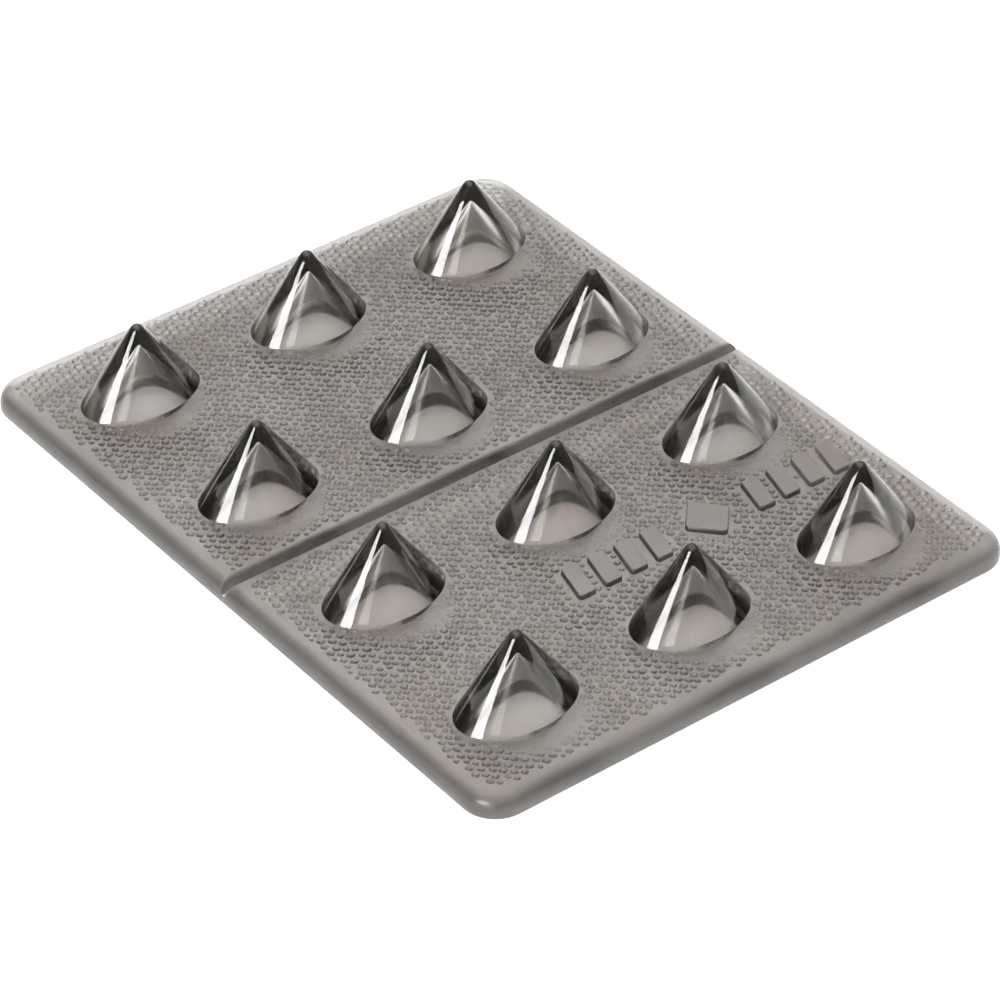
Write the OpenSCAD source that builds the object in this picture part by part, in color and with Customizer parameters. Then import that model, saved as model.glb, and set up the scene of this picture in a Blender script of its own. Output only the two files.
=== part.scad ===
// Snowboard stomp pad: a flexible moulded mat with twelve cored spike teeth and a flex groove
// across its middle, bonded to the board by an adhesive sheet under a split release liner.
// Millimetres, +Z up. The origin is at the centre of the underside, +Y points at the rear rows.

/* [Mat] */
// Width of the mat, side to side
pad_w = 99.2; // [85:0.1:130]
// Length of the mat, front to back
pad_l = 127; // [115:0.5:170]
// Thickness of the moulded sheet
sheet_t = 3.6; // [2.8:0.1:5]
// Corner radius of the mat, seen from above
corner_r = 5.5; // [5:0.5:14]
// Radius of the rounded top edge
rim_r = 2.4; // [0.5:0.1:2.6]

/* [Flex groove] */
// Place of the groove's centre along the length
groove_y = 0.1; // [-3:0.1:3]
// Width of the groove
groove_w = 2.6; // [1.2:0.1:4]
// Thickness of the thin web left under the groove
web_t = 2; // [0.8:0.1:2.4]

/* [Teeth] */
// Teeth in each row
tooth_cols = 3; // [1:1:3]
// Rows of teeth on each side of the groove
rows_per_half = 2; // [1:1:2]
// Spacing of the teeth along a row
pitch_x = 32.1; // [26:0.1:34]
// Spacing of the rows
pitch_y = 31.35; // [24:0.05:32]
// Place of the tooth pattern's centre along the length
grid_y = -0.4; // [-3:0.1:3]
// Height of a tooth above the sheet
tooth_h = 13; // [8:0.1:16]
// Length of a tooth's foot, along its row
tooth_len = 20.4; // [16:0.1:24]
// Depth of a tooth's foot, front to back
tooth_dep = 13.3; // [11:0.1:16]
// Radius of a tooth's tip
tip_r = 1.2; // [0.5:0.1:1.6]
// Solid height above a core, down from the tooth's tip
tip_solid = 3.8; // [3:0.1:5]
// Set back of a core's mouth from the tooth's foot, at each end
core_end_wall = 1.9; // [1.2:0.1:3]
// Set back of a core's mouth from the tooth's foot, at the front and the back
core_side_wall = 0.8; // [0.5:0.1:2]

/* [Adhesive and liner] */
// Thickness of the adhesive sheet
adhesive_t = 0.6; // [0.4:0.1:1.2]
// Thickness of the release liner
liner_t = 0.2; // [0.1:0.05:0.5]
// Set back of the adhesive and the liner from the mat's edge
bond_inset = 1; // [0.5:0.1:3]
// Width of the slit between the front and rear halves of the adhesive and the liner
split_w = 2.4; // [1:0.1:4]

/* [Hidden] */
$fn = 64;

// The stack, from the underside up
adhesive_z = liner_t;
sheet_z = adhesive_z + adhesive_t;
top_z = sheet_z + sheet_t;
rim = min(rim_r, sheet_t - 0.4);
inset = min(bond_inset, corner_r - 1);

// A core's mouth in the sheet's underside, and its tip
core_len = tooth_len - 2 * core_end_wall;
core_dep = tooth_dep - 2 * core_side_wall;
core_tip_z = top_z + tooth_h - tip_solid;

core_tip_r = 0.3;
rim_steps = 6;
// How far a tooth's foot sinks into the sheet, and how far a core's cut starts below it
tooth_embed = 0.3;
core_cut = 0.1;

// Round puck at a corner of the sheet, with its top edge rounded
module corner_puck() {
    rotate_extrude()
        polygon([[0, 0], [corner_r, 0],
                 for (turn = [0 : 90 / rim_steps : 90])
                     [corner_r - rim * (1 - cos(turn)), sheet_t - rim * (1 - sin(turn))],
                 [0, sheet_t]]);
}

// Whole sheet, stretched between its four corners
module sheet() {
    hull()
        for (x = [-1, 1], y = [-1, 1])
            translate([x * (pad_w / 2 - corner_r), y * (pad_l / 2 - corner_r), sheet_z]) corner_puck();
}

// Spike with an oval foot and a rounded tip, from z = low to z = tip_z
module spike(len, dep, low, foot_t, tip_z, r) {
    hull() {
        translate([0, 0, low]) linear_extrude(foot_t) scale([len / dep, 1]) circle(d = dep, $fn = 48);
        translate([0, 0, tip_z - r]) sphere(r, $fn = 16);
    }
}

// Tooth outside, from just inside the sheet to the tip
module tooth_shell() {
    spike(tooth_len, tooth_dep, top_z - tooth_embed, tooth_embed, top_z + tooth_h, tip_r);
}

// Core of a tooth, open at the sheet's underside
module tooth_core() {
    spike(core_len, core_dep, sheet_z - core_cut, core_cut, core_tip_z, core_tip_r);
}

// Places of one half's teeth
module at_teeth(side) {
    for (row = [0 : rows_per_half - 1])
        for (col = [0 : tooth_cols - 1])
            translate([(col - (tooth_cols - 1) / 2) * pitch_x, grid_y + side * (row + 0.5) * pitch_y, 0])
                children();
}

// One half of the mat: side is 1 for the rear half and -1 for the front
module panel(side) {
    cut_y = groove_y + side * groove_w / 2;
    difference() {
        union() {
            intersection() {
                sheet();
                translate([-pad_w / 2, side > 0 ? cut_y : cut_y - pad_l, 0]) cube([pad_w, pad_l, top_z]);
            }
            at_teeth(side) tooth_shell();
        }
        at_teeth(side) tooth_core();
    }
}

module rear_panel() {
    color([0.46, 0.45, 0.44]) panel(1);
}

module front_panel() {
    color([0.46, 0.45, 0.44]) panel(-1);
}

// Thin web that joins the two panels under the groove
module hinge_web() {
    color([0.36, 0.35, 0.34])
        translate([-pad_w / 2, groove_y - groove_w / 2, sheet_z]) cube([pad_w, groove_w, web_t]);
}

// Die-cut layer under one half, set in from the mat's edge
module bond_layer(side, z, thick) {
    split_y = groove_y + side * split_w / 2;
    edge_y = side * (pad_l / 2 - inset);
    edge_x = pad_w / 2 - inset;
    r = corner_r - inset;
    translate([0, 0, z])
        linear_extrude(thick) {
            translate([-edge_x, min(split_y, edge_y - side * r)])
                square([2 * edge_x, abs(edge_y - side * r - split_y)]);
            translate([r - edge_x, min(split_y, edge_y)])
                square([2 * (edge_x - r), abs(edge_y - split_y)]);
            for (end = [-1, 1])
                translate([end * (edge_x - r), edge_y - side * r]) circle(r);
        }
}

module rear_adhesive() {
    color([0.93, 0.93, 0.90]) bond_layer(1, adhesive_z, adhesive_t);
}

module front_adhesive() {
    color([0.93, 0.93, 0.90]) bond_layer(-1, adhesive_z, adhesive_t);
}

module rear_liner() {
    color([0.97, 0.97, 0.96]) bond_layer(1, 0, liner_t);
}

module front_liner() {
    color([0.97, 0.97, 0.96]) bond_layer(-1, 0, liner_t);
}

rear_panel();
front_panel();
hinge_web();
rear_adhesive();
front_adhesive();
rear_liner();
front_liner();
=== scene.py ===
import cmath
import math
import random

import bpy
import numpy as np
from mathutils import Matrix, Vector
from mathutils.geometry import delaunay_2d_cdt


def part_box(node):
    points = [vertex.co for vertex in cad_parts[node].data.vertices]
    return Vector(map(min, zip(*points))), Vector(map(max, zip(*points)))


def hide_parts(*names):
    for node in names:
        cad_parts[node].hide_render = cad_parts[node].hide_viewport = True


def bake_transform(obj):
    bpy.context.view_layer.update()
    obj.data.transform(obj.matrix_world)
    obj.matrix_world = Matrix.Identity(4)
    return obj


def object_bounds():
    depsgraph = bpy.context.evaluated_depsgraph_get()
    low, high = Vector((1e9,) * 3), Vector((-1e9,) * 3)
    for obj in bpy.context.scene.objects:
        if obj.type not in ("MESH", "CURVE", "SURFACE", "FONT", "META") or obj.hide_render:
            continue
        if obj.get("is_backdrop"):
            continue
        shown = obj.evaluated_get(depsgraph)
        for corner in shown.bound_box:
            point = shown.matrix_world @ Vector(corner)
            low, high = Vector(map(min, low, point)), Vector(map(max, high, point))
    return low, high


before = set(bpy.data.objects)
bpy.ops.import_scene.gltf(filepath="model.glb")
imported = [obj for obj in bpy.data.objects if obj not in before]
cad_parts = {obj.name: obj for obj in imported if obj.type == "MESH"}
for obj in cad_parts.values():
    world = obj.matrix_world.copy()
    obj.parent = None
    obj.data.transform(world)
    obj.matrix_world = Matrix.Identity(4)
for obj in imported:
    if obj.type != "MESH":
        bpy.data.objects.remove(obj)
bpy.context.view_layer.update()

MM = 0.001


# --- Camera ---------------------------------------------------------------------------------
# A long portrait lens looks down on the front left corner, so the rows of teeth run away to
# the right and the tips stay nearly parallel.
AIM = Vector((-1.44, -4.36, 0)) * MM
CAMERA_AZIMUTH = math.radians(-37.92)
CAMERA_ELEVATION = math.radians(37.58)
CAMERA_DISTANCE = 714.6 * MM
FOCAL_LENGTH = 169.9
SENSOR_W = 36
NEAREST_SEEN = 50 * MM

camera_data = bpy.data.cameras.new("camera")
camera_data.lens = FOCAL_LENGTH
camera_data.sensor_width = SENSOR_W
camera_data.clip_start = NEAREST_SEEN
camera = bpy.data.objects.new("camera", camera_data)
bpy.context.collection.objects.link(camera)
towards_camera = Vector((math.sin(CAMERA_AZIMUTH) * math.cos(CAMERA_ELEVATION),
                         -math.cos(CAMERA_AZIMUTH) * math.cos(CAMERA_ELEVATION),
                         math.sin(CAMERA_ELEVATION)))
camera.location = AIM + towards_camera * CAMERA_DISTANCE
camera.rotation_mode = "QUATERNION"
camera.rotation_quaternion = (-towards_camera).to_track_quat("-Z", "Y")
bpy.context.scene.camera = camera


# --- Moulded mat ----------------------------------------------------------------------------
# One injection moulding of clear smoke-grey polyurethane: a thin sheet with a rounded rim, a
# pebbled top, a flex groove and twelve tall teeth, cored out from below. It is one closed skin,
# in millimetres until it is a mesh, with a hair of air between it and the adhesive.
panel_low, panel_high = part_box("rear_panel")
front_low, front_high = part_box("front_panel")
AIR_FILM = 0.04
SHEET_T = 3.6
MAT_W = (panel_high.x - panel_low.x) / MM
MAT_L = (panel_high.y - front_low.y) / MM
UNDERSIDE = panel_low.z / MM + AIR_FILM
SHEET_TOP = panel_low.z / MM + SHEET_T
CORNER_R = 5.5
CORNER_STEPS = 10
RIM_R = 2.4
RIM_STEPS = 8
EDGE_R = 0.25
EDGE_BEVEL = 0.3
GROOVE_Y = (panel_low.y + front_high.y) / 2 / MM
GROOVE_DEPTH = 2.2
GROOVE_HALF_W = 0.68
GROOVE_REACH = 1.6
GROOVE_STEEPNESS = 4
GROOVE_STEPS = (0, 0.2, 0.34, 0.46, 0.57, 0.68, 0.8, 0.94, 1.12, 1.35, GROOVE_REACH)

TOOTH_PITCH = (32.1, 31.35)
TOOTH_GRID_Y = -0.4
TOOTH_TIP = panel_high.z / MM
TOOTH_OVAL = (20.4, 13.3)
TOOTH_TIP_R = 1.2
CORE_OVAL = (16.6, 11.7)
CORE_ROOF = 3.8
CORE_TIP = TOOTH_TIP - CORE_ROOF
CORE_TIP_R = 0.3
OVAL_STEPS = 56
SLOPE_SHARES = (0.0, 0.3, 0.65, 1.0)
TIP_STEPS = 4
TOOTH_GLOSS = 1.0
CORE_GLOSS = 0.62

skin_points = []
skin_polish = []
skin_faces = []
skin_index = {}
sharp_edges = set()


def point(x, y, z, polish=0.0):
    """Index of a skin point, shared by every patch that meets there."""
    key = (round(x, 4), round(y, 4), round(z, 4))
    if key not in skin_index:
        skin_index[key] = len(skin_points)
        skin_points.append((x, y, z))
        skin_polish.append(polish)
    return skin_index[key]


def face(*corners):
    """A face of the skin, counter-clockwise from outside; repeated corners fall out."""
    kept = [c for i, c in enumerate(corners) if c != corners[i - 1]]
    if len(kept) > 2:
        skin_faces.append(kept)


def band(low, high, turned=False):
    """Quads between two closed rows of points of the same length."""
    for i, here in enumerate(low):
        corners = (low[i - 1], here, high[i], high[i - 1])
        face(*(reversed(corners) if turned else corners))


def sharpen(loop):
    """Keeps the edges of a closed loop crisp."""
    for i, here in enumerate(loop):
        sharp_edges.add(frozenset((here, loop[i - 1])))


def oval(length, depth):
    """An oval outline, counter-clockwise, with its outward normals."""
    rows = []
    for i in range(OVAL_STEPS):
        turn = math.tau * i / OVAL_STEPS
        normal = Vector((math.cos(turn) / length, math.sin(turn) / depth)).normalized()
        rows.append((length / 2 * math.cos(turn), depth / 2 * math.sin(turn), normal.x, normal.y))
    return rows


def spike(foot, x, y, foot_z, tip_z, tip_r, gloss, turned=False):
    """Skin of a spike: straight lines from its foot that run tangent onto a small round tip."""
    rise = tip_z - tip_r - foot_z
    leans = []
    for px, py, nx, ny in foot:
        support = px * nx + py * ny
        leans.append(math.acos(tip_r / math.hypot(support, rise)) - math.atan2(rise, support))
    rows = []
    for share in SLOPE_SHARES:
        row = []
        for (px, py, nx, ny), lean in zip(foot, leans):
            out = tip_r * math.cos(lean)
            touch_z = tip_z - tip_r + tip_r * math.sin(lean)
            row.append(point(x + px + (nx * out - px) * share, y + py + (ny * out - py) * share,
                             foot_z + (touch_z - foot_z) * share, gloss))
        rows.append(row)
    for step in range(1, TIP_STEPS):
        row = []
        for (_, _, nx, ny), lean in zip(foot, leans):
            turn = lean + (math.pi / 2 - lean) * step / TIP_STEPS
            out = tip_r * math.cos(turn)
            row.append(point(x + nx * out, y + ny * out, tip_z - tip_r + tip_r * math.sin(turn), gloss))
        rows.append(row)
    rows.append([point(x, y, tip_z, gloss)] * len(foot))
    for low, high in zip(rows, rows[1:]):
        band(low, high, turned)
    sharpen(rows[0])
    return rows[0]


tooth_places = [((column - 1) * TOOTH_PITCH[0], TOOTH_GRID_Y + (row - 1.5) * TOOTH_PITCH[1])
                for row in range(4) for column in range(3)]
tooth_foot = oval(*TOOTH_OVAL)
core_foot = oval(*CORE_OVAL)
foot_loops = [spike(tooth_foot, x, y, SHEET_TOP, TOOTH_TIP, TOOTH_TIP_R, TOOTH_GLOSS)
              for x, y in tooth_places]
core_loops = [spike(core_foot, x, y, UNDERSIDE, CORE_TIP, CORE_TIP_R, CORE_GLOSS, turned=True)
              for x, y in tooth_places]

groove_rows = sorted({GROOVE_Y + side * away for side in (-1, 1) for away in GROOVE_STEPS})


def groove_drop(y):
    """How far the groove lowers the top at y: a steep-sided notch with soft lips."""
    away = abs(y - GROOVE_Y)
    if away > GROOVE_REACH - 0.01:
        return 0
    notch = GROOVE_DEPTH / (1 + (away / GROOVE_HALF_W) ** GROOVE_STEEPNESS)
    return notch * (1 - (away / GROOVE_REACH) ** GROOVE_STEEPNESS)


def corner(side_x, side_y, start, inset):
    """Arc at one corner of the mat's outline, set in by inset."""
    rows = []
    for i in range(CORNER_STEPS + 1):
        turn = math.radians(start + 90 * i / CORNER_STEPS)
        rows.append((side_x * (MAT_W / 2 - CORNER_R) + (CORNER_R - inset) * math.cos(turn),
                     side_y * (MAT_L / 2 - CORNER_R) + (CORNER_R - inset) * math.sin(turn)))
    return rows


def rim_outline(inset):
    """Outline of the mat, set in by inset, counter-clockwise from the groove's right end."""
    edge_x = MAT_W / 2 - inset
    return ([(edge_x, y) for y in groove_rows]
            + corner(1, 1, 0, inset) + corner(-1, 1, 90, inset)
            + [(-edge_x, y) for y in reversed(groove_rows)]
            + corner(-1, -1, 180, inset) + corner(1, -1, 270, inset))


rim_levels = []
for step in range(RIM_STEPS + 1):
    turn = math.radians(90 * step / RIM_STEPS)
    rim_levels.append((RIM_R * (1 - math.sin(turn)), SHEET_TOP - RIM_R * (1 - math.cos(turn))))
rim_levels += [(0, UNDERSIDE + EDGE_R), (EDGE_R * EDGE_BEVEL, UNDERSIDE + EDGE_R * EDGE_BEVEL),
               (EDGE_R, UNDERSIDE)]
rim_rows = [[point(x, y, min(z, SHEET_TOP - groove_drop(y))) for x, y in rim_outline(inset)]
            for inset, z in rim_levels]
for high, low in zip(rim_rows, rim_rows[1:]):
    band(low, high)
top_loop = rim_rows[0]
bottom_loop = rim_rows[-1]
sharpen(bottom_loop)

# The groove's own strips across the top, between the two sides' rims
groove_n = len(groove_rows)
left_start = groove_n + 2 * (CORNER_STEPS + 1)
right_ends = top_loop[:groove_n]
left_ends = top_loop[left_start:left_start + groove_n][::-1]
for i in range(groove_n - 1):
    face(left_ends[i], right_ends[i], right_ends[i + 1], left_ends[i + 1])


def distance_to(places, loops):
    """Signed distance from each place to the nearest closed outline, negative inside one."""
    best = np.full(len(places), 1e9)
    for loop in loops:
        a = np.array(loop, float)
        b = np.roll(a, -1, axis=0)
        along = b - a
        offset = places[:, None, :] - a[None]
        share = np.clip((offset * along).sum(2) / (along * along).sum(1), 0, 1)
        gap = np.linalg.norm(offset - share[..., None] * along, axis=2).min(1)
        straddles = (a[:, 1] > places[:, None, 1]) != (b[:, 1] > places[:, None, 1])
        slope = along[:, 0] / np.where(along[:, 1] == 0, 1e-9, along[:, 1])
        crosses = straddles & (places[:, None, 0] < a[:, 0] + slope * offset[..., 1])
        best = np.minimum(best, np.where(crosses.sum(1) % 2 == 1, -gap, gap))
    return best


def rounded(corners, radius, steps=4):
    """A convex counter-clockwise outline with its corners rounded."""
    rows = []
    for i, corner_at in enumerate(corners):
        here = Vector(corner_at)
        back = (Vector(corners[i - 1]) - here).normalized()
        ahead = (Vector(corners[(i + 1) % len(corners)]) - here).normalized()
        half_opening = back.angle(ahead) / 2
        middle = here + (back + ahead).normalized() * radius / math.sin(half_opening)
        first = here + back * radius / math.tan(half_opening) - middle
        sweep = math.pi - 2 * half_opening
        for step in range(steps + 1):
            turn = math.atan2(first.y, first.x) + sweep * step / steps
            rows.append((middle.x + radius * math.cos(turn), middle.y + radius * math.sin(turn)))
    return rows


def shrunk(outline, by):
    """The outline set in by a small distance."""
    rows = []
    for i, (x, y) in enumerate(outline):
        along = Vector(outline[(i + 1) % len(outline)]) - Vector(outline[i - 1])
        rows.append((x - along.y / along.length * by, y + along.x / along.length * by))
    return rows


# A plain raised motif between the two front rows: slanted bars on each side of a lozenge
MOTIF_Y = TOOTH_GRID_Y - TOOTH_PITCH[1]
MOTIF_H = 0.8
MOTIF_LEVELS = ((0.05, 0.82), (0.2, 1.0))
LOZENGE_X = 16.4
LOZENGE_HALF_W = 4.4
LOZENGE_HALF_H = 4.8
LOZENGE_R = 0.8
BAR_STARTS = (-8.2, 26.3)
BARS_PER_SIDE = 4
BAR_PITCH = 4.9
BAR_HALF_H = 3.5
BAR_HALF_W = 1.6
BAR_SLANT = 0.9
BAR_R = 0.6
motif_outlines = [rounded([(LOZENGE_X - LOZENGE_HALF_W, MOTIF_Y), (LOZENGE_X, MOTIF_Y - LOZENGE_HALF_H),
                           (LOZENGE_X + LOZENGE_HALF_W, MOTIF_Y), (LOZENGE_X, MOTIF_Y + LOZENGE_HALF_H)],
                          LOZENGE_R)]
for start in BAR_STARTS:
    for i in range(BARS_PER_SIDE):
        x = start + i * BAR_PITCH
        motif_outlines.append(rounded([(x - BAR_SLANT - BAR_HALF_W, MOTIF_Y - BAR_HALF_H),
                                       (x - BAR_SLANT + BAR_HALF_W, MOTIF_Y - BAR_HALF_H),
                                       (x + BAR_SLANT + BAR_HALF_W, MOTIF_Y + BAR_HALF_H),
                                       (x + BAR_SLANT - BAR_HALF_W, MOTIF_Y + BAR_HALF_H)], BAR_R))

# Pebbles: a jittered honeycomb, each cell with one low steep-sided lump, cut down beside an edge
# and fading out over the smooth patch in front of each tooth
PEBBLE_PITCH = 1.5
PEBBLE_H = 0.27
PEBBLE_RINGS = ((0.9, 0.0), (0.72, 0.78))
PEBBLE_SIZES = (0.78, 1.12)
PEBBLE_STRETCH = 1.22
RING_STEPS = 9
SMALLEST_PEBBLE = 0.35
FAINTEST_PEBBLE = 0.12
EDGE_GAP = 0.08
LATTICE_REACH = 95
LEAST_FACING = 0.2
LATTICE_TURN = math.radians(17)
JITTER = 0.15
NEIGHBOURS = ((1, 0), (0, 1), (-1, 1), (-1, 0), (0, -1), (1, -1))
PATCH_HALF = (9.0, 10.4)
PATCH_SHIFT = 1.6
PATCH_CLEAR = 0.8
PATCH_FADE = 0.3
grain = random.Random(7)
lattice_rows = int(LATTICE_REACH / PEBBLE_PITCH)
lattice_jitter = {}
for r in range(-lattice_rows, lattice_rows + 1):
    for q in range(-2 * lattice_rows, 2 * lattice_rows + 1):
        lattice_jitter[q, r] = (grain.uniform(-1, 1), grain.uniform(-1, 1), grain.uniform(*PEBBLE_SIZES))


def site(q, r):
    """Middle of a pebble cell, as a complex number."""
    jitter_x, jitter_y, _ = lattice_jitter[q, r]
    place = complex(q + r / 2 + jitter_x * JITTER, r * math.sqrt(3) / 2 + jitter_y * JITTER)
    return place * cmath.rect(PEBBLE_PITCH, LATTICE_TURN)


def cell_corners(q, r):
    """The six corners that a cell shares with its neighbours."""
    around = [site(q + dq, r + dr) for dq, dr in NEIGHBOURS]
    corners = [(site(q, r) + around[i] + around[(i + 1) % 6]) / 3 for i in range(6)]
    return [(c.real, c.imag) for c in corners]


cells = [(q, r) for q, r in lattice_jitter
         if abs(site(q, r).real) < MAT_W / 2 - RIM_R and abs(site(q, r).imag) < MAT_L / 2 - RIM_R]
corner_lists = [cell_corners(q, r) for q, r in cells]
corner_array = np.array(corner_lists).reshape(-1, 2)
feet = [[(x + px, y + py) for px, py, _, _ in tooth_foot] for x, y in tooth_places]
middles = np.array([(site(q, r).real, site(q, r).imag) for q, r in cells])


def clearance(places):
    """Distance from each place to the nearest edge on the sheet's top, negative past one."""
    from_rim = -distance_to(places, [rim_outline(RIM_R)])
    from_groove = np.abs(places[:, 1] - GROOVE_Y) - GROOVE_REACH
    return np.minimum(np.minimum(from_rim, from_groove), distance_to(places, feet + motif_outlines))


cell_clear = clearance(corner_array).reshape(-1, 6).min(1)
middle_clear = clearance(middles)
height = np.ones(len(cells))
for x, y in tooth_places:
    away_x, away_y = middles[:, 0] - x, middles[:, 1] - y
    gap = np.hypot(away_x / PATCH_HALF[0], (away_y + PATCH_SHIFT) / PATCH_HALF[1])
    faded = np.minimum(height, np.clip((gap - PATCH_CLEAR) / PATCH_FADE, 0, 1))
    height = np.where(away_y < 0, faded, height)

cell_loops = []
for i, corners in enumerate(corner_lists):
    whole = cell_clear[i] > EDGE_GAP
    if height[i] < FAINTEST_PEBBLE or middle_clear[i] < SMALLEST_PEBBLE + EDGE_GAP:
        continue
    middle = Vector(middles[i])
    size = lattice_jitter[cells[i]][2]
    dome = PEBBLE_H * size * height[i]
    edge_facts = []
    for (ax, ay), (bx, by) in zip(corners, corners[1:] + corners[:1]):
        facing = math.atan2(ax - bx, by - ay)
        edge_facts.append((facing, (ax - middle.x) * math.cos(facing) + (ay - middle.y) * math.sin(facing)))
    room = min(away for _, away in edge_facts)
    spin = grain.uniform(0, 1)
    outline = []
    for k in range(RING_STEPS):
        turn = math.tau * (k + spin) / RING_STEPS
        reach = min(away / math.cos(turn - facing) for facing, away in edge_facts
                    if math.cos(turn - facing) > LEAST_FACING)
        reach = min(reach, room * PEBBLE_STRETCH) * min(size, 1)
        if not whole:
            reach = min(reach, middle_clear[i] - EDGE_GAP)
        outline.append((reach * math.cos(turn), reach * math.sin(turn)))
    rings = [[point(middle.x + dx * share, middle.y + dy * share, SHEET_TOP + dome * lift)
              for dx, dy in outline] for share, lift in PEBBLE_RINGS]
    band(rings[0], rings[1])
    sharpen(rings[0])
    band(rings[1], [point(middle.x, middle.y, SHEET_TOP + dome)] * RING_STEPS)
    if not whole:
        cell_loops.append(rings[0])
        continue
    hexagon = [point(cx, cy, SHEET_TOP) for cx, cy in corners]
    cell_loops.append(hexagon)
    # The flat land between the hexagon and the pebble's foot, as a fan that walks round both
    around = []
    for kind, ring in (("hexagon", hexagon), ("foot", rings[0])):
        for p in ring:
            px, py, _ = skin_points[p]
            around.append((math.atan2(py - middle.y, px - middle.x) % math.tau, kind, p))
    around.sort()
    last = {kind: p for _, kind, p in around}
    for _, kind, p in around:
        if kind == "hexagon":
            face(last["hexagon"], p, last["foot"])
        else:
            face(last["foot"], last["hexagon"], p)
        last[kind] = p


def fill(outline, holes, z, turned=False, lines=()):
    """Flat skin between an outline and its holes."""
    places = []
    index = {}

    def local(p):
        key = (round(skin_points[p][0], 4), round(skin_points[p][1], 4))
        if key not in index:
            index[key] = len(places)
            places.append(Vector(key))
        return index[key]

    loops = [[local(p) for p in loop] for loop in [outline] + list(holes)]
    edges = [(local(a), local(b)) for a, b in lines]
    corners, _, triangles, _, _, owners = delaunay_2d_cdt(places, edges, loops, 0, 1e-7, True)
    for triangle, owner in zip(triangles, owners):
        if owner == [0]:
            kept = [point(corners[k].x, corners[k].y, z) for k in triangle]
            face(*(reversed(kept) if turned else kept))


# The flats on each side of the groove, round the teeth, pebbles and motif
motif_loops = [[point(x, y, SHEET_TOP) for x, y in outline] for outline in motif_outlines]
rear_border = top_loop[groove_n - 1:left_start + 1]
front_border = top_loop[left_start + groove_n - 1:] + top_loop[:1]
for side, border in ((1, rear_border), (-1, front_border)):
    own = [loop for loop in foot_loops + cell_loops + motif_loops
           if (skin_points[loop[0]][1] - GROOVE_Y) * side > 0]
    fill(border, own, SHEET_TOP)
for outline, loop in zip(motif_outlines, motif_loops):
    wall, lip = [[point(x, y, SHEET_TOP + MOTIF_H * share) for x, y in shrunk(outline, inset)]
                 for inset, share in MOTIF_LEVELS]
    band(loop, wall)
    band(wall, lip)
    face(*lip)
    sharpen(loop)
    sharpen(lip)

# The underside, with the cores' mouths, and rows of points under the web where it bends
bottom_left = bottom_loop[left_start:left_start + groove_n][::-1]
fill(bottom_loop, core_loops, UNDERSIDE, turned=True, lines=list(zip(bottom_loop[:groove_n], bottom_left)))


def make_mesh(name, points, faces, smooth=False, sharp=()):
    """An object from points in millimetres."""
    mesh = bpy.data.meshes.new(name)
    mesh.from_pydata([(x * MM, y * MM, z * MM) for x, y, z in points], [], faces)
    if smooth:
        mesh.shade_smooth()
    if sharp:
        crisp = mesh.attributes.new("sharp_edge", "BOOLEAN", "EDGE")
        for edge in mesh.edges:
            crisp.data[edge.index].value = frozenset(edge.vertices) in sharp
    made = bpy.data.objects.new(name, mesh)
    bpy.context.collection.objects.link(made)
    return made


mat = make_mesh("moulded_mat", skin_points, skin_faces, smooth=True, sharp=sharp_edges)
polish_layer = mat.data.attributes.new("polish", "FLOAT", "POINT")
polish_layer.data.foreach_set("value", skin_polish)


# One stretched noise, shared by every finish below: blotches where it is even, streaks where
# one of its scales is low
NOISE_LOW = 0.35
NOISE_HIGH = 0.65
mottle = bpy.data.node_groups.new("mottle", "ShaderNodeTree")
mottle.interface.new_socket("Scale", in_out="INPUT", socket_type="NodeSocketVector")
mottle.interface.new_socket("Value", in_out="OUTPUT", socket_type="NodeSocketFloat")
place = mottle.nodes.new("ShaderNodeTexCoord")
stretch = mottle.nodes.new("ShaderNodeVectorMath")
stretch.operation = "MULTIPLY"
noise = mottle.nodes.new("ShaderNodeTexNoise")
noise.inputs["Scale"].default_value = 1
noise.inputs["Detail"].default_value = 3
spread = mottle.nodes.new("ShaderNodeMapRange")
spread.inputs["From Min"].default_value = NOISE_LOW
spread.inputs["From Max"].default_value = NOISE_HIGH
group_input = mottle.nodes.new("NodeGroupInput")
group_output = mottle.nodes.new("NodeGroupOutput")
mottle.links.new(place.outputs["Object"], stretch.inputs[0])
mottle.links.new(group_input.outputs["Scale"], stretch.inputs[1])
mottle.links.new(stretch.outputs["Vector"], noise.inputs["Vector"])
mottle.links.new(noise.outputs["Fac"], spread.inputs["Value"])
mottle.links.new(spread.outputs["Result"], group_output.inputs["Value"])


def add_mottle(tree, scale):
    """A mottle node in a material, with its own scale per metre along X, Y and Z."""
    node = tree.nodes.new("ShaderNodeGroup")
    node.node_tree = mottle
    node.inputs["Scale"].default_value = scale
    return node.outputs["Value"]


def between(tree, mask, first, second):
    """A colour between two, by a mask."""
    mix = tree.nodes.new("ShaderNodeMix")
    mix.data_type = "RGBA"
    mix.inputs["A"].default_value = (*first, 1)
    mix.inputs["B"].default_value = (*second, 1)
    tree.links.new(mask, mix.inputs["Factor"])
    return mix.outputs["Result"]


def ranged(tree, value, low_value, high_value):
    """A value spread from 0..1 to two limits."""
    spread = tree.nodes.new("ShaderNodeMapRange")
    spread.inputs["To Min"].default_value = low_value
    spread.inputs["To Max"].default_value = high_value
    tree.links.new(value, spread.inputs["Value"])
    return spread.outputs["Result"]


def bumped(tree, value, distance):
    """A bump normal from a height value, in metres."""
    bump = tree.nodes.new("ShaderNodeBump")
    bump.inputs["Strength"].default_value = 1
    bump.inputs["Distance"].default_value = distance
    tree.links.new(value, bump.inputs["Height"])
    return bump.outputs["Normal"]


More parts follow.
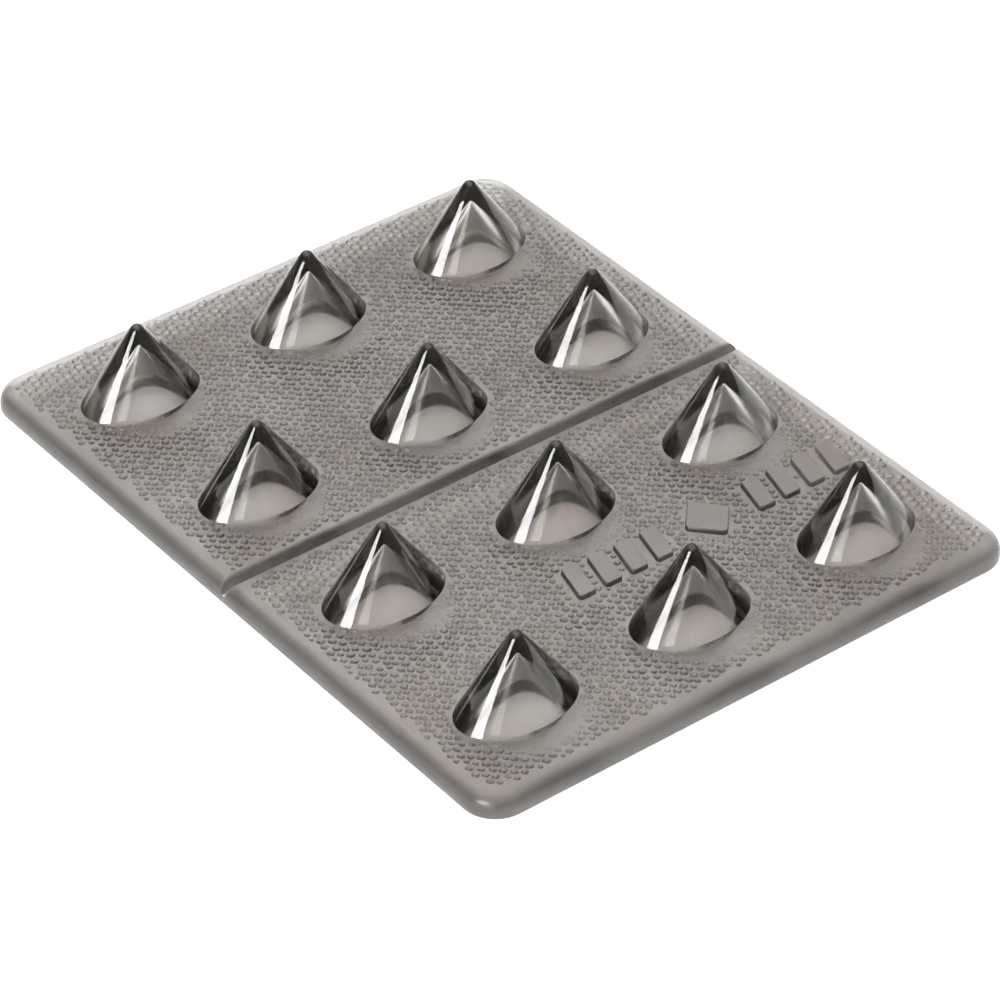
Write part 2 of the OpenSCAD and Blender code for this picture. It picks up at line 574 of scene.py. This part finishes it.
# Smoke-grey polyurethane: glass-clear in the polished teeth, satin on the sheet and its rim,
# with flow streaks down the walls and faint warm clouds in the tint
TINT_CLOUDS = ((1.0, 0.985, 0.975), (0.97, 0.985, 0.99))
SATIN_ROUGHNESS = (0.30, 0.42)
POLISHED_ROUGHNESS = 0.035
SMOKE_COLOUR = (0.37, 0.338, 0.30, 1)
SMOKE_DENSITY = 185
material = bpy.data.materials.new("smoke_polyurethane")
material.use_nodes = True
tree = material.node_tree
shader = tree.nodes["Principled BSDF"]
shader.inputs["Transmission Weight"].default_value = 1
shader.inputs["IOR"].default_value = 1.5
clouds = add_mottle(tree, (90, 90, 90))
tree.links.new(between(tree, clouds, *TINT_CLOUDS), shader.inputs["Base Color"])
streaks = add_mottle(tree, (800, 800, 90))
satin = ranged(tree, streaks, *SATIN_ROUGHNESS)
polished = tree.nodes.new("ShaderNodeAttribute")
polished.attribute_name = "polish"
gloss = tree.nodes.new("ShaderNodeMix")
gloss.data_type = "FLOAT"
gloss.inputs["B"].default_value = POLISHED_ROUGHNESS
tree.links.new(satin, gloss.inputs["A"])
tree.links.new(polished.outputs["Fac"], gloss.inputs["Factor"])
tree.links.new(gloss.outputs["Result"], shader.inputs["Roughness"])
absorption = tree.nodes.new("ShaderNodeVolumeAbsorption")
absorption.inputs["Color"].default_value = SMOKE_COLOUR
absorption.inputs["Density"].default_value = SMOKE_DENSITY
tree.links.new(absorption.outputs["Volume"], tree.nodes["Material Output"].inputs["Volume"])
mat.data.materials.append(material)
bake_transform(mat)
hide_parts("rear_panel", "front_panel", "hinge_web")


# --- Adhesive -------------------------------------------------------------------------------
# A die-cut sheet of milky double-sided adhesive, bonded under the mat and set in from its edge.
# It is one sheet, with narrow strips across it under the groove. Faint warm clouds show where it has wetted
# out.
BOND_INSET = 1.0
ADHESIVE_CLOUDS = ((0.93, 0.92, 0.90), (0.82, 0.735, 0.70))
ADHESIVE_ROUGHNESS = (0.38, 0.6)
ADHESIVE_GRAIN_H = 0.03 * MM
material = bpy.data.materials.new("milky_adhesive")
material.use_nodes = True
tree = material.node_tree
shader = tree.nodes["Principled BSDF"]
wetting = add_mottle(tree, (60, 45, 60))
tree.links.new(between(tree, wetting, *ADHESIVE_CLOUDS), shader.inputs["Base Color"])
grain_mask = add_mottle(tree, (2500, 2500, 2500))
tree.links.new(ranged(tree, grain_mask, *ADHESIVE_ROUGHNESS), shader.inputs["Roughness"])
tree.links.new(bumped(tree, grain_mask, ADHESIVE_GRAIN_H), shader.inputs["Normal"])
adhesive_low, adhesive_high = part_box("rear_adhesive")
outline = rim_outline(BOND_INSET)
n = len(outline)
sheet_points = [(x, y, z / MM) for z in (adhesive_low.z, adhesive_high.z) for x, y in outline]
sheet_faces = [[i, (i + 1) % n, n + (i + 1) % n, n + i] for i in range(n)]
# Narrow strips where the sheet bends with the groove, then one broad face on each side of them
for i in range(groove_n - 1):
    opposite = left_start + groove_n - 1 - i
    sheet_faces.append([i + 1, i, opposite, opposite - 1])
    sheet_faces.append([n + i, n + i + 1, n + opposite - 1, n + opposite])
rear_part = list(range(groove_n - 1, left_start + 1))
front_part = list(range(left_start + groove_n - 1, n)) + [0]
for part in (rear_part, front_part):
    sheet_faces.append(part[::-1])
    sheet_faces.append([n + i for i in part])
adhesive = make_mesh("adhesive_sheet", sheet_points, sheet_faces)
adhesive.data.materials.append(material)
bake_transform(adhesive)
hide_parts("rear_adhesive", "front_adhesive")


# --- Release liner --------------------------------------------------------------------------
# White coated release paper in two halves, slit under the groove. Each half is die-cut with
# rounded outer corners.
PAPER_CLOUDS = ((0.93, 0.93, 0.915), (0.87, 0.87, 0.85))
PAPER_ROUGHNESS = (0.38, 0.55)
PAPER_GRAIN_H = 0.02 * MM
LINER_CORNER_R = CORNER_R - BOND_INSET
LINER_CORNER_STEPS = 11
LINER_CORNER_SWEEP = math.radians(88)
LINER_ROW = 1.5
ACROSS = (-1, -0.75, -0.5, -0.25, 0, 0.25, 0.5, 0.75, 1)
material = bpy.data.materials.new("release_paper")
material.use_nodes = True
tree = material.node_tree
shader = tree.nodes["Principled BSDF"]
fibres = add_mottle(tree, (900, 350, 900))
tree.links.new(between(tree, fibres, *PAPER_CLOUDS), shader.inputs["Base Color"])
tree.links.new(ranged(tree, fibres, *PAPER_ROUGHNESS), shader.inputs["Roughness"])
tree.links.new(bumped(tree, fibres, PAPER_GRAIN_H), shader.inputs["Normal"])
for node, backing, half, side in (("rear_liner", "rear_backing", "rear_half", 1),
                                  ("front_liner", "front_backing", "front_half", -1)):
    low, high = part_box(node)
    half_w = high.x / MM
    split = (low.y if side > 0 else -high.y) / MM
    edge = (high.y if side > 0 else -low.y) / MM
    straight = edge - LINER_CORNER_R
    steps = round((straight - split) / LINER_ROW)
    rows = [(half_w, split + (straight - split) * i / steps) for i in range(steps)]
    for i in range(LINER_CORNER_STEPS + 1):
        turn = LINER_CORNER_SWEEP * i / LINER_CORNER_STEPS
        rows.append((half_w - LINER_CORNER_R * (1 - math.cos(turn)),
                     straight + LINER_CORNER_R * math.sin(turn)))
    rows.append((half_w - LINER_CORNER_R, edge))
    n = len(ACROSS)
    liner_points = []
    for z in (low.z / MM, high.z / MM):
        liner_points += [(x * share, side * y, z) for x, y in rows for share in ACROSS]
    # The broad faces and the long edges row by row, then the inner and the outer end
    level = len(rows) * n
    liner_faces = []
    for i in range(len(rows) - 1):
        for k in range(n - 1):
            a = i * n + k
            liner_faces.append([a, a + n, a + n + 1, a + 1])
            liner_faces.append([level + a, level + a + 1, level + a + n + 1, level + a + n])
        right = i * n + n - 1
        left = i * n
        liner_faces.append([right, right + n, level + right + n, level + right])
        liner_faces.append([left + n, left, level + left, level + left + n])
    last = (len(rows) - 1) * n
    for k in range(n - 1):
        liner_faces.append([k, k + 1, level + k + 1, level + k])
        liner_faces.append([last + k + 1, last + k, level + last + k, level + last + k + 1])
    if side < 0:
        liner_faces = [corners[::-1] for corners in liner_faces]
    liner = make_mesh(node + "_paper", liner_points, liner_faces)
    liner.data.materials.append(material)
    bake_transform(liner)
    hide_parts(node)


# --- Studio ---------------------------------------------------------------------------------
# A plain white floor that glows a little, a sky that is bright overhead and dim near the
# horizon, a softbox at the left that draws the stripe on each tooth, and a wide one behind.
FLOOR_SIZE = 6
FLOOR_DROP = 0.2 * MM
FLOOR_WHITE = (0.9, 0.9, 0.9, 1)
FLOOR_GLOW = 0.4
SKY = ((0.0, 0.06), (0.5, 0.08), (0.72, 0.35), (0.9, 0.85), (1.0, 1.0))
SKY_STRENGTH = 2.75
bpy.ops.mesh.primitive_plane_add(size=FLOOR_SIZE, location=(0, 0, 0))
floor = bpy.context.object
floor.name = "floor"
floor.location.z = -FLOOR_DROP
material = bpy.data.materials.new("floor_white")
material.use_nodes = True
shader = material.node_tree.nodes["Principled BSDF"]
shader.inputs["Base Color"].default_value = FLOOR_WHITE
shader.inputs["Roughness"].default_value = 0.9
shader.inputs["Emission Color"].default_value = (1, 1, 1, 1)
shader.inputs["Emission Strength"].default_value = FLOOR_GLOW
floor.data.materials.append(material)
floor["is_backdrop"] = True

world = bpy.data.worlds.new("studio")
bpy.context.scene.world = world
world.use_nodes = True
tree = world.node_tree
direction = tree.nodes.new("ShaderNodeTexCoord")
parts = tree.nodes.new("ShaderNodeSeparateXYZ")
sky = tree.nodes.new("ShaderNodeValToRGB")
while len(sky.color_ramp.elements) < len(SKY):
    sky.color_ramp.elements.new(0.5)
for element, (height_share, brightness) in zip(sky.color_ramp.elements, SKY):
    element.position = height_share
    element.color = (brightness, brightness, brightness, 1)
tree.links.new(direction.outputs["Generated"], parts.inputs["Vector"])
tree.links.new(parts.outputs["Z"], sky.inputs["Fac"])
tree.links.new(sky.outputs["Color"], tree.nodes["Background"].inputs["Color"])
tree.nodes["Background"].inputs["Strength"].default_value = SKY_STRENGTH


def softbox(name, azimuth, elevation, distance, width, height, power):
    """A rectangular area light that faces the mat."""
    lamp = bpy.data.lights.new(name, "AREA")
    lamp.shape = "RECTANGLE"
    lamp.size = width
    lamp.size_y = height
    lamp.energy = power
    made = bpy.data.objects.new(name, lamp)
    bpy.context.collection.objects.link(made)
    turn = math.radians(azimuth)
    rise = math.radians(elevation)
    out = Vector((math.sin(turn) * math.cos(rise), -math.cos(turn) * math.cos(rise), math.sin(rise)))
    made.location = out * distance
    made.rotation_mode = "QUATERNION"
    made.rotation_quaternion = out.to_track_quat("Z", "Y")


softbox("stripe", azimuth=-70, elevation=25, distance=1.2, width=0.55, height=0.45, power=15)
softbox("rear", azimuth=165, elevation=42, distance=1.2, width=1.2, height=0.7, power=3.8)
bpy.context.scene.view_settings.view_transform = "Standard"

low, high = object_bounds()
